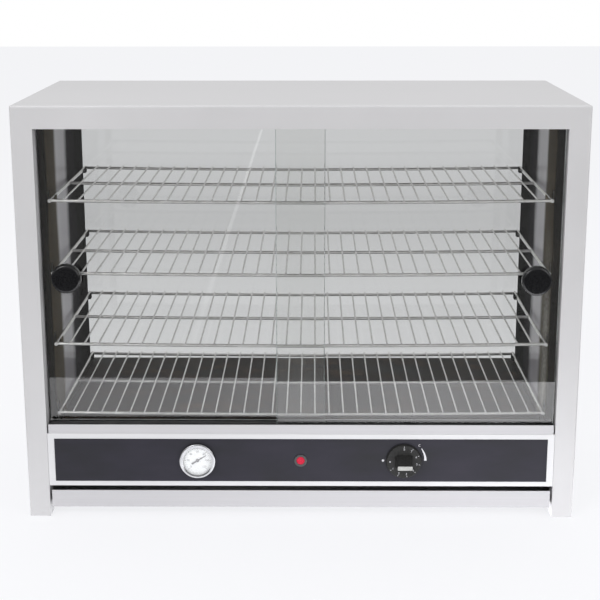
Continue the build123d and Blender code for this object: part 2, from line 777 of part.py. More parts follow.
# Heating element: sheathed tube in a flat loop on the floor pan, with its cold ends passing down
element_z = tray_top + element_level
element_rear = front + liner_depth - 42.0
element_half = liner_half_width - 36.0
with BuildPart() as heating_element:
    tube_along(
        (
            (cold_x[0], cold_y, deck - cold_end_depth),
            (cold_x[0], cold_y, element_z),
            (-element_half, cold_y, element_z),
            (-element_half, element_rear, element_z),
            (element_half, element_rear, element_z),
            (element_half, cold_y, element_z),
            (cold_x[1], cold_y, element_z),
            (cold_x[1], cold_y, deck - cold_end_depth),
        ),
        [cold_end_bend, element_bend, element_bend, element_bend, element_bend, cold_end_bend],
        element_radius,
    )
finish("heating_element", heating_element.part)

bushing_height = 10.0
bushing_mouth = 2.8
with BuildPart() as element_bushings:
    for x in cold_x:
        post(x, cold_y, deck - bushing_height, bushing_radius, bushing_height)
        post(x, cold_y, deck - bushing_height - 1, element_radius + hole_play, 20, mode=Mode.SUBTRACT)
        post(x, cold_y, deck - bushing_mouth, element_radius + 1, 5, mode=Mode.SUBTRACT)
finish("element_bushings", element_bushings.part)

clip_x = (-180.0, 0.0, 180.0)
clip_gauge = 0.8
clip_width = 10.0
clip_foot = 9.0
with BuildPart() as element_clips:
    for x in clip_x:
        saddle = element_radius + hole_play
        y = element_rear
        along = (x - clip_width / 2, x + clip_width / 2)
        block(along, (y - saddle - clip_foot, y + saddle + clip_foot), (tray_top, tray_top + clip_gauge))
        block(
            along,
            (y - saddle - clip_gauge, y + saddle + clip_gauge),
            (tray_top, element_z + saddle + clip_gauge),
        )
        with Locations(Plane(origin=(along[0] - 1, y, element_z), z_dir=(1, 0, 0))):
            Cylinder(
                saddle, clip_width + 2, align=(Align.CENTER, Align.CENTER, Align.MIN), mode=Mode.SUBTRACT
            )
finish("element_clips", element_clips.part)

# Racks: welded wire shelves that sag a little, with their end wires in the lugs' hooks
end_x = rack_half_width - end_wire
rack_y = (front + rack_front, front + (rack_front + rack_rear) / 2, front + rack_rear)
wire_pitch = 2 * end_x / (cross_wires + 1)
end_overrun = frame_wire + 1.2
cross_overrun = 1.0
with BuildPart() as rack:
    for y in rack_y:
        with BuildLine() as long_wire:
            ThreePointArc((-end_x + weld_sink, y, 0), (0, y, -rack_sag), (end_x - weld_sink, y, 0))
        with BuildSketch(Plane(origin=long_wire.line @ 0, z_dir=long_wire.line % 0)):
            Circle(frame_wire)
        sweep(path=long_wire.line)
    for x in (-end_x, end_x):
        rod(x, rack_y[0] - end_overrun, 0, end_wire, rack_y[2] - rack_y[0] + 2 * end_overrun)
    for number in range(1, cross_wires + 1):
        x = -end_x + number * wire_pitch
        height = frame_wire + cross_wire - weld_sink - rack_sag * (1 - (x / end_x) ** 2)
        rod(x, rack_y[0] - cross_overrun, height, cross_wire, rack_y[2] - rack_y[0] + 2 * cross_overrun)
for level, name in zip(rack_levels, rack_names):
    finish(name, rack.part.moved(Location((0, 0, level))))

# Electrics bay: terminal block, gland, earth stud and the internal wires
bay_floor = plinth_bottom + case_gauge
block_x = gland_x - 45.0
block_y = back - 75.0
block_height = 18.0
ways = 3
way_pitch = 12.0
with BuildPart() as terminal_block:
    block(
        (block_x - 21, block_x + 21),
        (block_y - 11, block_y + 11),
        (bay_floor, bay_floor + block_height),
    )
    with Locations((block_x, block_y, bay_floor + block_height)):
        with GridLocations(way_pitch, 12, ways, 2):
            Cylinder(2.4, 5, align=(Align.CENTER, Align.CENTER, Align.MAX), mode=Mode.SUBTRACT)
finish("terminal_block", terminal_block.part)

with BuildPart() as cable_gland:
    rod(gland_x, back - 14, gland_level, gland_radius * 0.7, 14)
    with BuildSketch(Plane(origin=(gland_x, back, gland_level), x_dir=(1, 0, 0), z_dir=(0, 1, 0))):
        RegularPolygon(gland_radius * 1.15, 6)
    extrude(amount=6)
    rod(gland_x, back, gland_level, gland_radius * 0.85, gland_reach)
    fillet(cable_gland.faces().sort_by(Axis.Y)[-1].edges(), 2)
    rod(gland_x, back - 20, gland_level, cable_bore, 60, mode=Mode.SUBTRACT)
finish("cable_gland", cable_gland.part)

with BuildPart() as gland_locknut:
    with BuildSketch(
        Plane(origin=(gland_x, back - case_gauge, gland_level), x_dir=(1, 0, 0), z_dir=(0, -1, 0))
    ):
        RegularPolygon(gland_radius * 1.15, 6)
        Circle(gland_radius * 0.7 + hole_play, mode=Mode.SUBTRACT)
    extrude(amount=4)
finish("gland_locknut", gland_locknut.part)

with BuildPart() as earth_stud:
    stud_place = (block_x + 60.0, block_y)
    post(*stud_place, bay_floor, 2.5, 16)
    with BuildSketch(Plane.XY.offset(bay_floor)):
        with Locations(stud_place):
            RegularPolygon(4.8, 6)
    extrude(amount=4)
finish("earth_stud", earth_stud.part)

wire_top = bay_floor + block_height - 3
wire_low = control_level - 12.0
with BuildPart() as active_wire:
    tube_along(
        (
            (stat_x + 10, stat_rear, wire_low),
            (stat_x + 10, stat_rear + 60, wire_low),
            (block_x - way_pitch, block_y - 90, wire_low - 10),
            (block_x - way_pitch, block_y - 50, wire_top),
            (block_x - way_pitch, block_y - 11, wire_top),
        ),
        [16, 16, 12],
        wire_radius,
    )
finish("active_wire", active_wire.part)

with BuildPart() as switched_wire:
    tube_along(
        (
            (stat_x - 10, stat_rear, wire_low),
            (stat_x - 10, stat_rear + 28, wire_low),
            (cold_x[1] + 20, cold_y - 20, wire_low - 12),
            (cold_x[1], cold_y, wire_low - 6),
            (cold_x[1], cold_y, deck - cold_end_depth),
        ),
        [12, 10, 8],
        wire_radius,
    )
finish("switched_wire", switched_wire.part)

with BuildPart() as neutral_wire:
    tube_along(
        (
            (cold_x[0], cold_y, deck - cold_end_depth),
            (cold_x[0], cold_y, bay_floor + 30),
            (cold_x[0] + 40, cold_y + 40, bay_floor + 8),
            (block_x, block_y - 60, bay_floor + 8),
            (block_x, block_y - 30, wire_top),
            (block_x, block_y - 11, wire_top),
        ),
        [16, 16, 12, 8],
        wire_radius,
    )
finish("neutral_wire", neutral_wire.part)

lamp_rear = face + lamp_body_depth
with BuildPart() as pilot_wires:
    for x, y, z in ((-2.5, 0.0, 0.0), (2.5, 20.0, 6.0)):
        tube_along(
            (
                (x, lamp_rear, control_level),
                (x, lamp_rear + 40 - y, control_level),
                (x - 40 + 4 * y, cold_y + 90 - y, bay_floor + 22 - z),
                (block_x + way_pitch + 2 * x, block_y + 40 + 2 * x, bay_floor + 22 - z),
                (block_x + way_pitch + 2 * x, block_y + 25, wire_top),
                (block_x + way_pitch + 2 * x, block_y + 11, wire_top),
            ),
            [14, 14, 6, 4],
            wire_radius,
        )
finish("pilot_wires", pilot_wires.part)
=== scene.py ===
from math import cos, pi, radians, sin

import bmesh
import bpy
from mathutils import Matrix, Vector


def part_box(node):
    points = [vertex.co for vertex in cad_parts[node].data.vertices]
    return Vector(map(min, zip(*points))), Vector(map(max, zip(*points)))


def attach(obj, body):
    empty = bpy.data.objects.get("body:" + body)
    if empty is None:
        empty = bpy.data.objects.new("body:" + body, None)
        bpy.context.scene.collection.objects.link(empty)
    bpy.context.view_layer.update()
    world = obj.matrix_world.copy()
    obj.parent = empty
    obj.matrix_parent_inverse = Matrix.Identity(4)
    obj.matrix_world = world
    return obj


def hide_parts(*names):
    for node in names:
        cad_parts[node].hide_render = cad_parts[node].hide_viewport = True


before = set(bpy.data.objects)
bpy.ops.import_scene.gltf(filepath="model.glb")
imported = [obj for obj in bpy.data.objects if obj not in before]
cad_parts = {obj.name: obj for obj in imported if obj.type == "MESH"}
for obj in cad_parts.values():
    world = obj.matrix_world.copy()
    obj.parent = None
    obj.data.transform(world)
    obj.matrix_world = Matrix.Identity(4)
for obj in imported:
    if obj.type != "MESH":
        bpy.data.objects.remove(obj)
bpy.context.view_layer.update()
MM = 0.001

# Camera: a short telephoto at the place solved from the eight visible corners of the case, a little above the
# top and very nearly square to the front. The picture is a square of 600 pixels.
case_low, case_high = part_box("outer_case")
front = case_low.y
camera_data = bpy.data.cameras.new("camera")
camera_data.sensor_width = 36.0
camera_data.lens = 81.74
camera_data.clip_end = 60.0
camera = bpy.data.objects.new("camera", camera_data)
camera_pitch = radians(90 - 14.24)
camera_yaw = radians(0.534)
camera_roll = radians(-0.067)
camera_turn = Matrix.Rotation(camera_yaw, 4, "Z") @ Matrix.Rotation(camera_pitch, 4, "X")
camera.matrix_world = (
    Matrix.Translation((0.0143, front - 1.5909, 0.684)) @ camera_turn @ Matrix.Rotation(camera_roll, 4, "Z")
)
bpy.context.scene.collection.objects.link(camera)
bpy.context.scene.camera = camera
bpy.context.scene.view_settings.view_transform = "Standard"

# Studio: a pale table top that ends about half a metre ahead of the cabinet, which the lower part of the doors
# mirrors, and a pale wall of light round it. The camera sees it white, and the glass and the mirrored light have
# levels of their own, brighter to the right as in the photo.
studio = bpy.context.scene.world or bpy.data.worlds.new("studio")
bpy.context.scene.world = studio
studio.use_nodes = True
sky = studio.node_tree


def wire(tree, kind, inputs=(), **settings):
    """A shader node of this kind, with its sockets set or joined."""
    node = tree.nodes.new(kind)
    for key, value in settings.items():
        setattr(node, key, value)
    for key, value in dict(inputs).items():
        if isinstance(value, bpy.types.NodeSocket):
            tree.links.new(value, node.inputs[key])
        else:
            node.inputs[key].default_value = value
    return node


def blend_value(tree, factor, low, high):
    """A number that goes from low to high with a factor."""
    mix = wire(tree, "ShaderNodeMix", data_type="FLOAT")
    for key, value in ((0, factor), (2, low), (3, high)):
        if isinstance(value, bpy.types.NodeSocket):
            tree.links.new(value, mix.inputs[key])
        else:
            mix.inputs[key].default_value = value
    return mix.outputs[0]


sky_path = wire(sky, "ShaderNodeLightPath")
sky_place = wire(sky, "ShaderNodeTexCoord")
sky_height = wire(sky, "ShaderNodeSeparateXYZ", {0: sky_place.outputs["Generated"]})
sky_rise = wire(
    sky,
    "ShaderNodeMapRange",
    {"Value": sky_height.outputs["Z"], "From Min": -0.1, "From Max": 0.22, "To Min": 0.06, "To Max": 0.9},
)
sky_level = blend_value(sky, sky_path.outputs["Is Glossy Ray"], 0.62, sky_rise.outputs[0])
sky_level = blend_value(sky, sky_path.outputs["Is Transmission Ray"], sky_level, 0.55)
sky_level = blend_value(sky, sky_path.outputs["Is Camera Ray"], sky_level, 1.0)
sky_light = sky.nodes["Background"]
sky_light.inputs["Color"].default_value = (1, 1, 1, 1)
sky.links.new(sky_level, sky_light.inputs["Strength"])

table_reach = 0.545
table_half_width = 6.0
table_rear = 9.0
mesh = bpy.data.meshes.new("table_top")
shape = bmesh.new()
bmesh.ops.create_grid(shape, x_segments=1, y_segments=1, size=0.5)
bmesh.ops.scale(shape, vec=(2 * table_half_width, table_rear + table_reach, 1), verts=shape.verts)
bmesh.ops.translate(
    shape, vec=(0, front + (table_rear - table_reach) / 2, -0.0002), verts=shape.verts
)
shape.to_mesh(mesh)
shape.free()
table_top = bpy.data.objects.new("table_top", mesh)
bpy.context.scene.collection.objects.link(table_top)
table_paint = bpy.data.materials.new("pale_table")
table_paint.use_nodes = True
tree = table_paint.node_tree
table_shader = tree.nodes["Principled BSDF"]
table_shader.inputs["Base Color"].default_value = (0.86, 0.86, 0.87, 1)
table_shader.inputs["Roughness"].default_value = 0.7
table_path = wire(tree, "ShaderNodeLightPath")
table_glow = blend_value(tree, table_path.outputs["Is Camera Ray"], 0.0, 1.0)
table_place = wire(tree, "ShaderNodeTexCoord")
table_axes = wire(tree, "ShaderNodeSeparateXYZ", {0: table_place.outputs["Object"]})
table_far = wire(
    tree, "ShaderNodeMapRange", {"Value": table_axes.outputs["Y"], "From Min": 0.0, "From Max": 4.0}
)
table_ramp = wire(tree, "ShaderNodeValToRGB", {0: table_far.outputs[0]})
table_bands = table_ramp.color_ramp.elements
table_bands[0].position, table_bands[-1].position = 0.17, 0.8
table_bands[0].color, table_bands[-1].color = (0.73, 0.73, 0.73, 1), (0.68, 0.68, 0.68, 1)
for place, level in ((0.27, 0.66), (0.45, 0.55)):
    table_bands.new(place).color = (level, level, level, 1)
table_side = wire(
    tree,
    "ShaderNodeMapRange",
    {"Value": table_axes.outputs["X"], "From Min": -0.2, "From Max": 0.2, "To Min": 2.5, "To Max": 4.8},
)
table_off_middle = wire(tree, "ShaderNodeMath", {0: table_axes.outputs["X"]}, operation="ABSOLUTE")
table_ahead = wire(
    tree,
    "ShaderNodeMapRange",
    {"Value": table_off_middle.outputs[0], "From Min": 0.42, "From Max": 0.55, "To Min": 1.0, "To Max": 0.0},
)
table_mirrored = blend_value(tree, table_ahead.outputs[0], 0.8, table_side.outputs[0])
table_share = blend_value(tree, table_path.outputs["Is Glossy Ray"], table_glow, table_mirrored)
table_share = blend_value(tree, table_path.outputs["Is Transmission Ray"], table_share, table_ramp.outputs[0])
table_light = wire(tree, "ShaderNodeEmission", {"Color": (0.97, 0.975, 1, 1), "Strength": table_share})
seen = blend_value(tree, table_path.outputs["Is Camera Ray"], 0.0, 0.82)
seen = blend_value(tree, table_path.outputs["Is Transmission Ray"], seen, 0.9)
seen = blend_value(tree, table_path.outputs["Is Glossy Ray"], seen, 0.9)
table_mix = wire(
    tree, "ShaderNodeMixShader", {0: seen, 1: table_shader.outputs[0], 2: table_light.outputs[0]}
)
tree.links.new(table_mix.outputs[0], tree.nodes["Material Output"].inputs["Surface"])
table_top.data.materials.append(table_paint)


def softbox(name, place, aim, size, power):
    """A square soft light at a place, turned to a point."""
    lamp = bpy.data.lights.new(name, "AREA")
    lamp.shape = "SQUARE"
    lamp.size = size
    lamp.energy = power
    box = bpy.data.objects.new(name, lamp)
    box.location = place
    box.rotation_euler = (Vector(aim) - Vector(place)).to_track_quat("-Z", "Y").to_euler()
    box.visible_camera = False
    bpy.context.scene.collection.objects.link(box)


middle = (0, 0, 0.25)
softbox("key_softbox", (-1.5, -2.3, 2.0), middle, 1.3, 42)
softbox("fill_softbox", (1.9, -1.8, 1.2), middle, 1.5, 20)
softbox("top_softbox", (0.2, 0.5, 2.3), middle, 1.8, 11)


# A narrow strip of light ahead of the left door, which the pane mirrors as one slanting streak. It is dimmer and
# wider towards its lower end.
streak_ahead = 0.5
streak_y = front + 0.016 - streak_ahead
streak_top = Vector((-0.064, streak_y, 0.422))
streak_foot = Vector((-0.178, streak_y, 0.079))
streak_half_widths = (1.8 * MM, 4.5 * MM)
mesh = bpy.data.meshes.new("light_strip")
shape = bmesh.new()
corners = [
    shape.verts.new(end + Vector((side * half, 0, 0)))
    for end, half in zip((streak_top, streak_foot), streak_half_widths)
    for side in (-1, 1)
]
shape.faces.new((corners[0], corners[1], corners[3], corners[2]))
shape.to_mesh(mesh)
shape.free()
light_strip = bpy.data.objects.new("light_strip", mesh)
bpy.context.scene.collection.objects.link(light_strip)
strip_glow = bpy.data.materials.new("strip_glow")
strip_glow.use_nodes = True
tree = strip_glow.node_tree
strip_place = wire(tree, "ShaderNodeTexCoord")
strip_axes = wire(tree, "ShaderNodeSeparateXYZ", {0: strip_place.outputs["Object"]})
strip_level = wire(
    tree,
    "ShaderNodeMapRange",
    {
        "Value": strip_axes.outputs["Z"],
        "From Min": streak_foot.z,
        "From Max": streak_top.z,
        "To Min": 0.3,
        "To Max": 2.4,
    },
)
strip_light = wire(
    tree, "ShaderNodeEmission", {"Color": (1, 1, 1, 1), "Strength": strip_level.outputs[0]}
)
tree.links.new(strip_light.outputs[0], tree.nodes["Material Output"].inputs["Surface"])
light_strip.data.materials.append(strip_glow)
light_strip.visible_camera = False
light_strip.visible_shadow = False
light_strip.visible_transmission = False


# Outer case: one bright sheet of satin stainless steel, wrapped over the top and down both sides, with its front
# and rear stiles folded in. The brushing runs with the sheet, over the top and down the sides.
def surface(name, colour, metallic=0.0, roughness=0.5, **sockets):
    """A material with the plain values set on its shader, and its tree and shader to build on."""
    made = bpy.data.materials.new(name)
    made.use_nodes = True
    shader = made.node_tree.nodes["Principled BSDF"]
    shader.inputs["Base Color"].default_value = (*colour, 1)
    shader.inputs["Metallic"].default_value = metallic
    shader.inputs["Roughness"].default_value = roughness
    for key, value in sockets.items():
        shader.inputs[key.replace("_", " ")].default_value = value
    return made, made.node_tree, shader


def grain(tree, stretch, scale=1.0, detail=3.0, rough=0.55):
    """Noise in the piece's own space, drawn out along the axes whose stretch is small."""
    place = wire(tree, "ShaderNodeTexCoord")
    drawn = wire(tree, "ShaderNodeMapping", {0: place.outputs["Object"], "Scale": stretch})
    noise = wire(
        tree,
        "ShaderNodeTexNoise",
        {0: drawn.outputs[0], "Scale": scale, "Detail": detail, "Roughness": rough},
    )
    return noise.outputs["Fac"]


def shades(tree, factor, stops):
    """Colours along a factor, as (place, colour) stops."""
    ramp = wire(tree, "ShaderNodeValToRGB", {0: factor})
    bands = ramp.color_ramp.elements
    bands[0].position, bands[-1].position = stops[0][0], stops[-1][0]
    bands[0].color, bands[-1].color = (*stops[0][1], 1), (*stops[-1][1], 1)
    for place, colour in stops[1:-1]:
        bands.new(place).color = (*colour, 1)
    return ramp.outputs[0]


def spread(tree, factor, low, high):
    """A factor between 0 and 1 mapped to a range."""
    reach = wire(tree, "ShaderNodeMapRange", {"Value": factor, "To Min": low, "To Max": high})
    return reach.outputs[0]


def relief(tree, shader, factor, height):
    """A bump of this height in metres."""
    bump = wire(tree, "ShaderNodeBump", {"Height": factor, "Distance": height, "Strength": 1.0})
    tree.links.new(bump.outputs[0], shader.inputs["Normal"])


def dress(made, *names):
    """Give CAD nodes this material."""
    for name in names:
        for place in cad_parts[name].material_slots:
            place.material = made


def brushed(name, colour, stretch, roughness=0.4, metallic=0.12):
    """Satin stainless steel whose brushing is drawn out along one direction."""
    made, tree, shader = surface(name, colour, metallic, roughness, Specular_IOR_Level=0.2)
    lines = grain(tree, stretch, detail=4)
    cloud = grain(tree, (3, 3, 3), detail=2)
    both = blend_value(tree, 0.35, lines, cloud)
    darker = tuple(c * 0.955 for c in colour)
    lighter = tuple(min(1.0, c * 1.035) for c in colour)
    tree.links.new(
        shades(tree, both, ((0.3, darker), (0.7, lighter))), shader.inputs["Base Color"]
    )
    tree.links.new(spread(tree, both, roughness - 0.07, roughness + 0.09), shader.inputs["Roughness"])
    relief(tree, shader, lines, 0.00002)
    return made


wrap_grain = (6, 700, 6)
dress(brushed("case_steel", (0.56, 0.556, 0.568), wrap_grain), "outer_case")

# Base pan, rear panel and door sill: folded from the same sheet, brushed along their length. The plinth at the
# bottom is the base pan's own front fold.
length_grain = (5, 700, 700)
panel_steel = brushed("panel_steel", (0.515, 0.51, 0.53), length_grain)
dress(panel_steel, "base_pan", "rear_panel", "door_sill")

# Rear glass channels: narrow folded stainless channels round the fixed rear pane, riveted behind the side walls.
channel_steel = brushed("channel_steel", (0.5, 0.5, 0.52), (500, 500, 8), 0.3, 0.8)
dress(
    channel_steel,
    "rear_glass_channel_left",
    "rear_glass_channel_right",
    "rear_glass_channel_top",
    "rear_glass_channel_bottom",
)

# Side walls, ceiling and floor tray: polished sheet, the ceiling and tray yellowed and browned in the heat. Along
# the depth of each side wall the colour is painted reflection: near black at the very front, brown (partly heat
# tint), bright lilac in the middle and dark to the rear. The right wall has a pale patch of painted reflection.
wall_low, wall_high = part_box("left_liner")
# Painted reflections along the side wall depth: near black at the front, brown (partly heat tint), bright lilac,
# dark rear.
painted_reflection_stops = (
    (0.0, (0.012, 0.01, 0.008)),
    (0.05, (0.13, 0.108, 0.075)),
    (0.24, (0.18, 0.155, 0.115)),
    (0.29, (0.8, 0.78, 0.84)),
    (0.48, (0.72, 0.7, 0.77)),
    (0.56, (0.06, 0.055, 0.065)),
    (0.80, (0.014, 0.013, 0.013)),
    (1.0, (0.008, 0.007, 0.007)),
)
wall_polish_painted_reflections, tree, shader = surface("wall_polish_painted_reflections", (0.3, 0.28, 0.27), 0.0, 0.2, Specular_IOR_Level=0.1)
wall_place = wire(tree, "ShaderNodeTexCoord")
wall_axes = wire(tree, "ShaderNodeSeparateXYZ", {0: wall_place.outputs["Object"]})
wall_depth = wire(
    tree,
    "ShaderNodeMapRange",
    {"Value": wall_axes.outputs["Y"], "From Min": wall_low.y, "From Max": wall_high.y},
)
wall_waver = spread(tree, grain(tree, (2, 14, 5), detail=2), -0.05, 0.05)
wall_along = wire(
    tree, "ShaderNodeMath", {0: wall_depth.outputs[0], 1: wall_waver}, operation="ADD", use_clamp=True
)
painted_wall_reflections = shades(tree, wall_along.outputs[0], painted_reflection_stops)
# A pale mottled patch of painted reflection on the right wall, near its front, fading out upwards.
painted_reflection_depth = shades(
    tree, wall_along.outputs[0], ((0.02, (0, 0, 0)), (0.1, (1, 1, 1)), (0.15, (1, 1, 1)), (0.25, (0, 0, 0)))
)
painted_reflection_height = wire(
    tree,
    "ShaderNodeMapRange",
    {"Value": wall_axes.outputs["Z"], "From Min": 0.36, "From Max": 0.22, "To Min": 0.0, "To Max": 1.0},
)
painted_reflection_side = wire(
    tree, "ShaderNodeMath", {0: wall_axes.outputs["X"], 1: 0.0}, operation="GREATER_THAN"
)
painted_reflection_here = wire(
    tree, "ShaderNodeMath", {0: painted_reflection_height.outputs[0], 1: painted_reflection_side.outputs[0]}, operation="MULTIPLY"
)
painted_reflection_share = wire(
    tree, "ShaderNodeMath", {0: painted_reflection_depth, 1: painted_reflection_here.outputs[0]}, operation="MULTIPLY"
)
painted_reflection_colour = shades(
    tree, grain(tree, (200, 200, 200), detail=4), ((0.35, (0.34, 0.32, 0.28)), (0.6, (0.66, 0.65, 0.6)))
)
wall_mix = wire(
    tree,
    "ShaderNodeMix",
    {0: painted_reflection_share.outputs[0], 6: painted_wall_reflections, 7: painted_reflection_colour},
    data_type="RGBA",
)
tree.links.new(wall_mix.outputs[2], shader.inputs["Base Color"])
wall_sheen = shades(
    tree,
    wall_along.outputs[0],
    ((0.24, (0.0, 0.0, 0.0)), (0.3, (0.12, 0.12, 0.12)), (0.48, (0.1, 0.1, 0.1)), (0.56, (0.0, 0.0, 0.0))),
)
tree.links.new(wall_sheen, shader.inputs["Specular IOR Level"])
tree.links.new(spread(tree, grain(tree, (40, 40, 10)), 0.12, 0.26), shader.inputs["Roughness"])
relief(tree, shader, grain(tree, (300, 300, 6)), 0.00001)
dress(wall_polish_painted_reflections, "left_liner", "right_liner")
dress(brushed("roof_polish", (0.5, 0.48, 0.46), (8, 300, 300), 0.25, 0.85), "roof_liner")
dress(brushed("tray_polish", (0.3, 0.27, 0.24), (60, 60, 60), 0.35, 0.8), "floor_pan")

# Heat deflector: black-brown oxidised steel plate under the bottom rack, blotched by baked-on juices and crumbs.
deflector_skin, tree, shader = surface("oxidised_plate", (0.03, 0.02, 0.015), 0.0, 0.5, Specular_IOR_Level=0.2)
blotch = grain(tree, (14, 20, 14), detail=6, rough=0.65)
tree.links.new(
    shades(
        tree,
        blotch,
        ((0.3, (0.005, 0.003, 0.001)), (0.5, (0.026, 0.014, 0.008)), (0.68, (0.1, 0.06, 0.036))),
    ),
    shader.inputs["Base Color"],
)
tree.links.new(spread(tree, blotch, 0.35, 0.75), shader.inputs["Roughness"])
relief(tree, shader, grain(tree, (160, 160, 160), detail=4), 0.00008)
dress(deflector_skin, "heat_deflector")

# Heating element: a sheathed tube, annealed grey-brown where it glows, in pressed clips, with glazed ceramic
# bushings where its cold ends pass down through the tray.
sheath_skin, tree, shader = surface("annealed_sheath", (0.12, 0.1, 0.09), 0.8, 0.45)
tree.links.new(
    shades(tree, grain(tree, (20, 20, 20)), ((0.35, (0.07, 0.055, 0.05)), (0.65, (0.2, 0.17, 0.15)))),
    shader.inputs["Base Color"],
)
dress(sheath_skin, "heating_element")
ceramic_skin, tree, shader = surface("steatite", (0.8, 0.77, 0.7), 0.0, 0.4)
tree.links.new(
    shades(tree, grain(tree, (250, 250, 250)), ((0.35, (0.72, 0.69, 0.61)), (0.65, (0.84, 0.82, 0.76)))),
    shader.inputs["Base Color"],
)
dress(ceramic_skin, "element_bushings")

# Glass: 4 mm toughened panes, nearly neutral, with a little wiping haze on their faces. The thermometer's lens is
# a thin clear disc over its dial.
def pane(name, tint, haze):
    """Clear glass with a slight tint and a trace of haze in soft wiping arcs."""
    made, tree, shader = surface(
        name, tint, 0.0, 0.0, Transmission_Weight=1.0, IOR=1.52, Specular_IOR_Level=0.9
    )
    wiped = grain(tree, (9, 9, 3), detail=3)
    tree.links.new(spread(tree, wiped, 0.0, haze), shader.inputs["Roughness"])
    return made


door_glass = pane("door_glass", (0.956, 0.96, 0.954), 0.012)
dress(door_glass, "left_door_glass", "right_door_glass", "rear_glass")
lens_glass, tree, shader = surface("lens_glass", (0.95, 0.96, 0.97), 0.0, 0.04, Alpha=0.1)
tree.links.new(spread(tree, grain(tree, (60, 60, 60)), 0.02, 0.08), shader.inputs["Roughness"])
dress(lens_glass, "thermometer_lens")

# Ground edges: the frosted grey-green band left by the edging wheel on the meeting edge of each door.
ground_edge, tree, shader = surface("ground_edge", (0.26, 0.32, 0.31), 0.0, 0.45)
tree.links.new(
    shades(tree, grain(tree, (400, 400, 60)), ((0.3, (0.17, 0.22, 0.215)), (0.7, (0.36, 0.42, 0.41)))),
    shader.inputs["Base Color"],
)
edge_gauge = 0.5 * MM
for side, sign in (("left", 1), ("right", -1)):
    low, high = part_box(f"{side}_door_glass")
    meeting = high.x if side == "left" else low.x
    shape = bmesh.new()
    band = bmesh.ops.create_cube(shape, size=1.0)["verts"]
    bmesh.ops.scale(shape, vec=(edge_gauge, high.y - low.y - 1.2 * MM, high.z - low.z), verts=band)
    bmesh.ops.translate(
        shape,
        vec=(meeting + sign * edge_gauge / 2, (low.y + high.y) / 2, (low.z + high.z) / 2),
        verts=band,
    )
    bmesh.ops.bevel(
        shape,
        geom=[edge for edge in shape.edges if abs(edge.verts[0].co.z - edge.verts[1].co.z) > 0.1],
        offset=0.2 * MM,
        segments=2,
        profile=0.5,
        affect="EDGES",
        material=-1,
    )
    mesh = bpy.data.meshes.new(f"{side}_ground_edge")
    shape.to_mesh(mesh)
    shape.free()
    edging = bpy.data.objects.new(f"{side}_ground_edge", mesh)
    bpy.context.scene.collection.objects.link(edging)
    edging.data.materials.append(ground_edge)
    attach(edging, f"{side}_door")

# Door tracks: black extruded plastic with two grooves, scuffed grey along the ribs that the panes rub on.
track_skin, tree, shader = surface("track_plastic", (0.02, 0.02, 0.022), 0.0, 0.5)
scuff = grain(tree, (30, 900, 900), detail=4)
tree.links.new(
    shades(tree, scuff, ((0.4, (0.012, 0.012, 0.014)), (0.75, (0.06, 0.06, 0.062)))),
    shader.inputs["Base Color"],
)
dress(track_skin, "bottom_track", "top_track")

# Racks: bright chromed wire, spot-welded at every crossing, a little dulled by washing.
wire_skin, tree, shader = surface("chromed_wire", (0.8, 0.8, 0.8), 0.7, 0.16)
worn = grain(tree, (90, 90, 90), detail=3)
tree.links.new(
    shades(tree, worn, ((0.3, (0.74, 0.735, 0.72)), (0.7, (0.94, 0.94, 0.94)))), shader.inputs["Base Color"]
)
tree.links.new(spread(tree, worn, 0.1, 0.26), shader.inputs["Roughness"])
dress(wire_skin, "bottom_rack", "lower_rack", "middle_rack", "top_rack")

# Door knobs: turned black phenolic discs with a broad edge radius, screwed through the pane from behind.
black_gloss, tree, shader = surface(
    "phenolic", (0.009, 0.009, 0.01), 0.0, 0.16, Specular_IOR_Level=0.3
)
flecks = grain(tree, (700, 700, 700), detail=2)
tree.links.new(
    shades(tree, flecks, ((0.4, (0.006, 0.006, 0.007)), (0.7, (0.014, 0.014, 0.015)))),
    shader.inputs["Base Color"],
)
tree.links.new(spread(tree, grain(tree, (60, 60, 60)), 0.12, 0.24), shader.inputs["Roughness"])


def lathe(name, profile, centre, steps=72):
    """A turned piece: (radius, distance behind the centre) points, spun round an axis that runs rearward."""
    shape = bmesh.new()
    corners = [shape.verts.new((radius, depth, 0)) for radius, depth in profile]
    line = [shape.edges.new(pair) for pair in zip(corners, corners[1:])]
    bmesh.ops.spin(
        shape, geom=corners + line, cent=(0, 0, 0), axis=(0, 1, 0), angle=2 * pi, steps=steps, use_merge=True
    )
    bmesh.ops.remove_doubles(shape, verts=shape.verts, dist=0.00001)
    bmesh.ops.recalc_face_normals(shape, faces=shape.faces)
    bmesh.ops.translate(shape, vec=centre, verts=shape.verts)
    return piece(name, shape)


def piece(name, shape, smooth_angle=40):
    """An object from a finished bmesh, shaded smooth except across its sharp edges."""
    mesh = bpy.data.meshes.new(name)
    limit = radians(smooth_angle)
    for face in shape.faces:
        face.smooth = True
    for edge in shape.edges:
        edge.smooth = len(edge.link_faces) == 2 and edge.calc_face_angle(0) < limit
    shape.to_mesh(mesh)
    shape.free()
    made = bpy.data.objects.new(name, mesh)
    bpy.context.scene.collection.objects.link(made)
    return made


def rounded(radius, depth, edge, rear_edge, steps=6):
    """The half profile of a disc with rounded front and rear edges, from its front middle to its rear middle."""
    points = [(0.0, 0.0)]
    for step in range(steps + 1):
        turn = pi / 2 * step / steps
        points.append((radius - edge + edge * sin(turn), edge - edge * cos(turn)))
    for step in range(steps + 1):
        turn = pi / 2 * step / steps
        points.append((radius - rear_edge + rear_edge * cos(turn), depth - rear_edge + rear_edge * sin(turn)))
    points.append((0.0, depth))
    return points


knob_edge = 3.4 * MM
for side in ("left", "right"):
    low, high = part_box(f"{side}_door_knob")
    radius = (high.x - low.x) / 2
    centre = ((low.x + high.x) / 2, low.y, (low.z + high.z) / 2)
    knob = lathe(f"{side}_pull_knob", rounded(radius, high.y - low.y, knob_edge, knob_edge / 3), centre)
    knob.data.materials.append(black_gloss)
    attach(knob, f"{side}_door")
    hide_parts(f"{side}_door_knob")

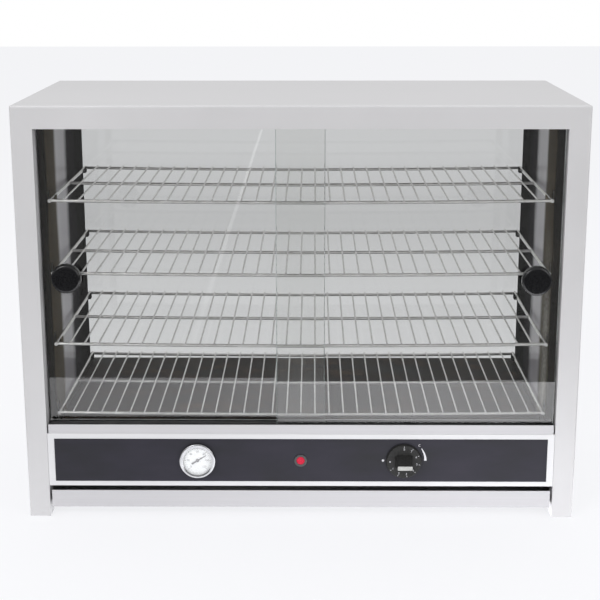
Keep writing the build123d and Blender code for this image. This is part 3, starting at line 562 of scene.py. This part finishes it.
# Small fittings: zinc-plated screws, clips and clamps with a faint yellow passivation.
zinc_skin, tree, shader = surface("zinc_plate", (0.6, 0.6, 0.58), 0.9, 0.35)
tree.links.new(
    shades(tree, grain(tree, (200, 200, 200)), ((0.35, (0.5, 0.49, 0.46)), (0.65, (0.66, 0.66, 0.66)))),
    shader.inputs["Base Color"],
)
dress(
    zinc_skin,
    "left_knob_screw",
    "right_knob_screw",
    "thermostat_screws",
    "thermostat_spindle",
    "pilot_lamp_nut",
    "thermometer_clamp",
    "thermometer_case",
    "element_clips",
)
screw_steel = brushed("screw_steel", (0.62, 0.62, 0.63), (300, 300, 300), 0.3, 0.9)
dress(screw_steel, "base_pan_screws", "rear_panel_screws", "fascia_screws", "gland_locknut")
rubber_skin, tree, shader = surface("washer_rubber", (0.03, 0.03, 0.03), 0.0, 0.75)
tree.links.new(
    shades(tree, grain(tree, (500, 500, 500)), ((0.3, (0.02, 0.02, 0.02)), (0.7, (0.05, 0.05, 0.05)))),
    shader.inputs["Base Color"],
)
dress(rubber_skin, "left_knob_washers", "right_knob_washers")

# Control fascia: a brighter folded strip of stainless, which shows as a narrow bright frame round the overlay.
dress(brushed("fascia_steel", (0.62, 0.62, 0.635), length_grain, 0.35, 0.15), "control_fascia")

# Overlay: smoked black printed plate with a soft satin bloom.
overlay_skin, tree, shader = surface("overlay_print", (0.03, 0.029, 0.036), 0.0, 0.34, Specular_IOR_Level=0.12)
bloom = grain(tree, (9, 9, 22), detail=3)
tree.links.new(
    shades(
        tree,
        bloom,
        ((0.3, (0.019, 0.019, 0.022)), (0.55, (0.026, 0.025, 0.034)), (0.75, (0.032, 0.03, 0.041))),
    ),
    shader.inputs["Base Color"],
)
tree.links.new(spread(tree, bloom, 0.28, 0.42), shader.inputs["Roughness"])
dress(overlay_skin, "fascia_overlay")

# Thermometer: chromed steel bezel rolled over a flat lens, a white enamelled dial printed with a scale of plain
# numbers, and a grey needle on a small hub.
chrome_skin, tree, shader = surface("bezel_chrome", (0.3, 0.3, 0.31), 0.95, 0.2)
tree.links.new(spread(tree, grain(tree, (150, 150, 150)), 0.14, 0.26), shader.inputs["Roughness"])
tree.links.new(
    shades(tree, grain(tree, (80, 80, 80)), ((0.3, (0.26, 0.26, 0.27)), (0.7, (0.36, 0.36, 0.37)))),
    shader.inputs["Base Color"],
)
low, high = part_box("thermometer_bezel")
bezel_radius = (high.x - low.x) / 2
bezel_depth = high.y - low.y
bezel_hole = bezel_radius - 4.4 * MM
bezel_roll = 1.7 * MM
bezel_rear = bezel_hole + 3.0 * MM
bezel_profile = [(bezel_rear, bezel_depth), (bezel_rear, 1.0 * MM), (bezel_hole, 0.85 * MM)]
bezel_profile += [(bezel_hole, 0.65 * MM), (bezel_hole + 1.5 * MM, 0.15 * MM)]
for step in range(7):
    turn = pi / 2 * step / 6
    bezel_profile.append((bezel_radius - bezel_roll * (1 - sin(turn)), bezel_roll * (1 - cos(turn))))
bezel_profile += [(bezel_radius, bezel_depth), (bezel_rear, bezel_depth)]
dial_centre = Vector(((low.x + high.x) / 2, low.y, (low.z + high.z) / 2))
bezel = lathe("bezel_ring", bezel_profile, dial_centre)
bezel.data.materials.append(chrome_skin)
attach(bezel, "cabinet")
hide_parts("thermometer_bezel")

enamel, tree, shader = surface("dial_enamel", (0.84, 0.86, 0.88), 0.0, 0.35)
tree.links.new(
    shades(tree, grain(tree, (120, 120, 120)), ((0.3, (0.9, 0.92, 0.94)), (0.7, (0.97, 0.98, 0.99)))),
    shader.inputs["Base Color"],
)
dress(enamel, "thermometer_dial")
needle_skin, tree, shader = surface("needle_lacquer", (0.16, 0.16, 0.17), 0.2, 0.4)
tree.links.new(
    shades(tree, grain(tree, (300, 300, 300)), ((0.3, (0.12, 0.12, 0.13)), (0.7, (0.2, 0.2, 0.21)))),
    shader.inputs["Base Color"],
)
dress(needle_skin, "thermometer_pointer")


def printing(name, colour):
    """Screen ink with a slightly uneven cover."""
    made, tree, shader = surface(name, colour, 0.0, 0.5)
    thin = tuple(c * 0.82 for c in colour)
    tree.links.new(
        shades(tree, grain(tree, (900, 900, 900)), ((0.3, thin), (0.6, colour))), shader.inputs["Base Color"]
    )
    return made


def bar(shape, centre, turn, near, far, width, thickness):
    """A printed tick along a radius: near and far from the centre, at a turn from the right."""
    made = bmesh.ops.create_cube(shape, size=1.0)["verts"]
    bmesh.ops.scale(shape, vec=(far - near, thickness, width), verts=made)
    bmesh.ops.translate(shape, vec=((near + far) / 2, 0, 0), verts=made)
    bmesh.ops.rotate(shape, cent=(0, 0, 0), matrix=Matrix.Rotation(-turn, 3, "Y"), verts=made)
    bmesh.ops.translate(shape, vec=centre, verts=made)


def figure(shape, text, centre, height, thickness):
    """A plain upright number or word whose middle is at a point, facing the front."""
    face = bpy.data.curves.new(text, "FONT")
    face.body = text
    face.size = height
    face.align_x = "CENTER"
    face.align_y = "CENTER"
    face.extrude = thickness / 2
    face.resolution_u = 3
    letter = bpy.data.objects.new(text, face)
    bpy.context.scene.collection.objects.link(letter)
    solid = bpy.data.meshes.new_from_object(letter)
    solid.transform(Matrix.Translation(centre) @ Matrix.Rotation(pi / 2, 4, "X"))
    shape.from_mesh(solid)
    bpy.data.objects.remove(letter)
    bpy.data.curves.remove(face)
    bpy.data.meshes.remove(solid)


ink_gauge = 0.05 * MM
scale_start, scale_end = radians(225), radians(-45)
scale_marks = 24
dial_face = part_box("thermometer_dial")[0].y - ink_gauge / 2
dial_shape = bmesh.new()
for mark in range(scale_marks + 1):
    turn = scale_start + (scale_end - scale_start) * mark / scale_marks
    major = mark % 4 == 0
    near = (14.4 if major else 15.2) * MM
    bar(
        dial_shape,
        (dial_centre.x, dial_face, dial_centre.z),
        turn,
        near,
        16.6 * MM,
        (0.5 if major else 0.28) * MM,
        ink_gauge,
    )
    if major:
        spot = (
            dial_centre.x + 11.6 * MM * cos(turn),
            dial_face,
            dial_centre.z + 11.6 * MM * sin(turn),
        )
        figure(dial_shape, str(mark * 5), spot, 3.6 * MM, ink_gauge)
dial_scale = piece("dial_scale", dial_shape)
dial_scale.data.materials.append(printing("dial_ink", (0.2, 0.2, 0.22)))
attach(dial_scale, "cabinet")

# Capillaries: thin copper tubes, darkened where they rise past the tray.
copper_skin, tree, shader = surface("copper_tube", (0.5, 0.27, 0.18), 0.95, 0.35)
tree.links.new(
    shades(tree, grain(tree, (40, 40, 40)), ((0.3, (0.32, 0.16, 0.1)), (0.7, (0.62, 0.36, 0.25)))),
    shader.inputs["Base Color"],
)
dress(copper_skin, "thermometer_capillary", "thermostat_capillary")

# Pilot lamp: a red translucent domed cap in a black moulded body, with a dim glow from the neon behind it.
lamp_skin, tree, shader = surface(
    "lamp_red", (0.5, 0.015, 0.04), 0.0, 0.35, Specular_IOR_Level=0.1, Emission_Strength=0.2
)
shader.inputs["Emission Color"].default_value = (0.8, 0.03, 0.07, 1)
tree.links.new(
    shades(tree, grain(tree, (700, 700, 700)), ((0.35, (0.38, 0.01, 0.03)), (0.65, (0.55, 0.025, 0.06)))),
    shader.inputs["Base Color"],
)
dress(lamp_skin, "pilot_lamp_lens")
moulded_black, tree, shader = surface("moulded_black", (0.022, 0.022, 0.024), 0.0, 0.45)
tree.links.new(
    shades(tree, grain(tree, (400, 400, 400)), ((0.3, (0.015, 0.015, 0.016)), (0.7, (0.032, 0.031, 0.034)))),
    shader.inputs["Base Color"],
)
dress(moulded_black, "pilot_lamp_body", "cable_gland")

# Thermostat knob: moulded black skirt with a wedge grip and a bright insert along its nose. The skirt carries a
# dot and plain numbers, and the overlay an index dot and a swelling arc beside it.
skirt_skin, tree, shader = surface(
    "knob_moulding", (0.02, 0.02, 0.02), 0.0, 0.35, Specular_IOR_Level=0.12
)
tree.links.new(
    shades(tree, grain(tree, (350, 350, 350)), ((0.3, (0.014, 0.014, 0.014)), (0.7, (0.03, 0.03, 0.029)))),
    shader.inputs["Base Color"],
)
dress(skirt_skin, "thermostat_knob")
low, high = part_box("thermostat_knob")
knob_centre = Vector(((low.x + high.x) / 2, high.y, (low.z + high.z) / 2))
skirt_face = high.y - 4.0 * MM - ink_gauge / 2
skirt_mark_radius = 17.2 * MM
skirt_marks = 8
knob_travel = radians(270)
rest_turn = pi
marks_shape = bmesh.new()
dot = bmesh.ops.create_cone(
    marks_shape, cap_ends=True, segments=20, radius1=1.1 * MM, radius2=1.1 * MM, depth=ink_gauge
)["verts"]
bmesh.ops.rotate(marks_shape, cent=(0, 0, 0), matrix=Matrix.Rotation(pi / 2, 3, "X"), verts=dot)
bmesh.ops.translate(
    marks_shape, vec=(knob_centre.x - skirt_mark_radius, skirt_face, knob_centre.z), verts=dot
)
for number in range(1, skirt_marks + 1):
    turn = rest_turn + knob_travel * number / skirt_marks
    spot = (
        knob_centre.x + (skirt_mark_radius - 0.9 * MM) * cos(turn),
        skirt_face,
        knob_centre.z + (skirt_mark_radius - 0.9 * MM) * sin(turn),
    )
    figure(marks_shape, str(number), spot, 4.0 * MM, ink_gauge)
    bar(
        marks_shape,
        (knob_centre.x, skirt_face, knob_centre.z),
        turn,
        18.6 * MM,
        20.2 * MM,
        0.6 * MM,
        ink_gauge,
    )
skirt_print = piece("skirt_marks", marks_shape)
white_ink = printing("white_ink", (0.62, 0.62, 0.66))
skirt_print.data.materials.append(white_ink)
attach(skirt_print, "thermostat_control")

overlay_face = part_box("fascia_overlay")[0].y - ink_gauge / 2
index_reach = 25.8 * MM
arc_radius = 26.8 * MM
arc_from, arc_to = radians(36), radians(0)
arc_steps = 12
print_shape = bmesh.new()
dot = bmesh.ops.create_cone(
    print_shape, cap_ends=True, segments=20, radius1=1.5 * MM, radius2=1.5 * MM, depth=ink_gauge
)["verts"]
bmesh.ops.rotate(print_shape, cent=(0, 0, 0), matrix=Matrix.Rotation(pi / 2, 3, "X"), verts=dot)
bmesh.ops.translate(print_shape, vec=(knob_centre.x - index_reach, overlay_face, knob_centre.z), verts=dot)
rims = []
for step in range(arc_steps + 1):
    share = step / arc_steps
    turn = arc_from + (arc_to - arc_from) * share
    half = (0.5 + 1.1 * share) * MM
    rims.append(
        [
            print_shape.verts.new(
                (
                    knob_centre.x + (arc_radius + reach) * cos(turn),
                    overlay_face,
                    knob_centre.z + (arc_radius + reach) * sin(turn),
                )
            )
            for reach in (-half, half)
        ]
    )
strip = [
    print_shape.faces.new((first[0], first[1], second[1], second[0])) for first, second in zip(rims, rims[1:])
]
swell = bmesh.ops.extrude_face_region(print_shape, geom=strip)
raised = [part for part in swell["geom"] if isinstance(part, bmesh.types.BMVert)]
bmesh.ops.translate(print_shape, vec=(0, -ink_gauge / 2, 0), verts=raised)
bmesh.ops.recalc_face_normals(print_shape, faces=print_shape.faces)
symbol_turn = radians(46)
symbol_reach = 27.4 * MM
figure(
    print_shape,
    "C",
    (
        knob_centre.x + symbol_reach * cos(symbol_turn),
        overlay_face,
        knob_centre.z + symbol_reach * sin(symbol_turn),
    ),
    4.2 * MM,
    ink_gauge,
)
overlay_print = piece("overlay_marks", print_shape)
overlay_print.data.materials.append(printing("overlay_ink", (0.8, 0.8, 0.84)))
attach(overlay_print, "cabinet")

# Electrics bay: cream moulded thermostat and terminal block, brass earth stud, and insulated wires.
def plain_finish(name, dark, light, scale, metallic, roughness, *nodes):
    """A moulded or plated finish that varies between two near colours."""
    made, tree, shader = surface(name, light, metallic, roughness)
    spots = grain(tree, (scale, scale, scale))
    tree.links.new(shades(tree, spots, ((0.3, dark), (0.7, light))), shader.inputs["Base Color"])
    tree.links.new(spread(tree, spots, roughness - 0.06, roughness + 0.08), shader.inputs["Roughness"])
    dress(made, *nodes)


plain_finish(
    "cream_moulding", (0.6, 0.57, 0.5), (0.72, 0.69, 0.62), 200, 0.0, 0.5, "thermostat_body", "terminal_block"
)
plain_finish("insert_nickel", (0.15, 0.15, 0.145), (0.22, 0.22, 0.21), 120, 0.9, 0.28, "knob_insert")
plain_finish("earth_brass", (0.5, 0.36, 0.14), (0.72, 0.55, 0.26), 150, 0.9, 0.35, "earth_stud")
plain_finish(
    "brown_insulation", (0.16, 0.06, 0.03), (0.24, 0.1, 0.05), 90, 0.0, 0.5, "active_wire", "switched_wire"
)
plain_finish(
    "blue_insulation", (0.03, 0.09, 0.3), (0.05, 0.14, 0.42), 90, 0.0, 0.5, "neutral_wire", "pilot_wires"
)
